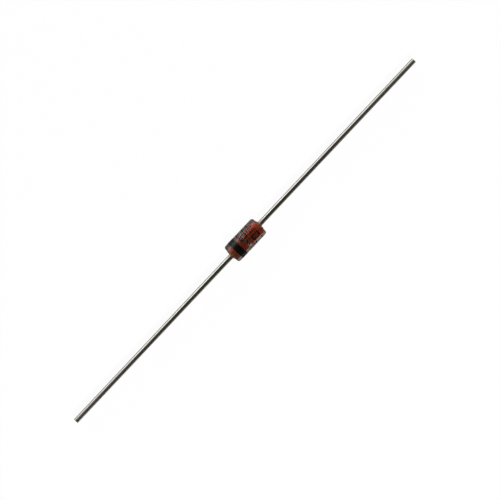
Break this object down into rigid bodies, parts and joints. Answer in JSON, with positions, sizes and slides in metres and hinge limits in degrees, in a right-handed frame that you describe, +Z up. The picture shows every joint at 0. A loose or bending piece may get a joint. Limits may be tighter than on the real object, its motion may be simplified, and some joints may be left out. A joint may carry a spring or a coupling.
{
  "type": "zener diode",
  "caption": "Axial zener diode: a clear glass sleeve fused over copper-clad slugs and a silicon chip, with a black cathode band and a straight tinned wire out of each end.",
  "frame": {"origin": "middle of the chip stack on the sleeve's axis, which is the middle of the glass body", "axes": "+X along the diode from its cathode wire to its anode wire, +Z up out of the printed side, +Y completes the right-handed frame"},
  "size_m": [0.0464, 0.002, 0.002],
  "materials": {
    "clear_glass": "clear, fire-polished at the ends",
    "copper_clad_slug": "red-brown oxidised copper cladding, wetted by the glass",
    "tinned_wire": "bright tin plate with fine draw lines",
    "solder": "dull solder",
    "silicon": "polished faces, sawn edges",
    "silver": "matt plated silver",
    "black_ink": "baked printing ink, slightly uneven edge"
  },
  "bodies": {
    "root": {"glass_sleeve": "clear_glass", "cathode_slug": "copper_clad_slug", "anode_slug": "copper_clad_slug", "cathode_lead": "tinned_wire", "anode_lead": "tinned_wire", "die_attach": "solder", "zener_die": "silicon", "anode_bump": "silver", "cathode_band": "black_ink", "printed_marks": "black_ink"}
  },
  "joints": []
}
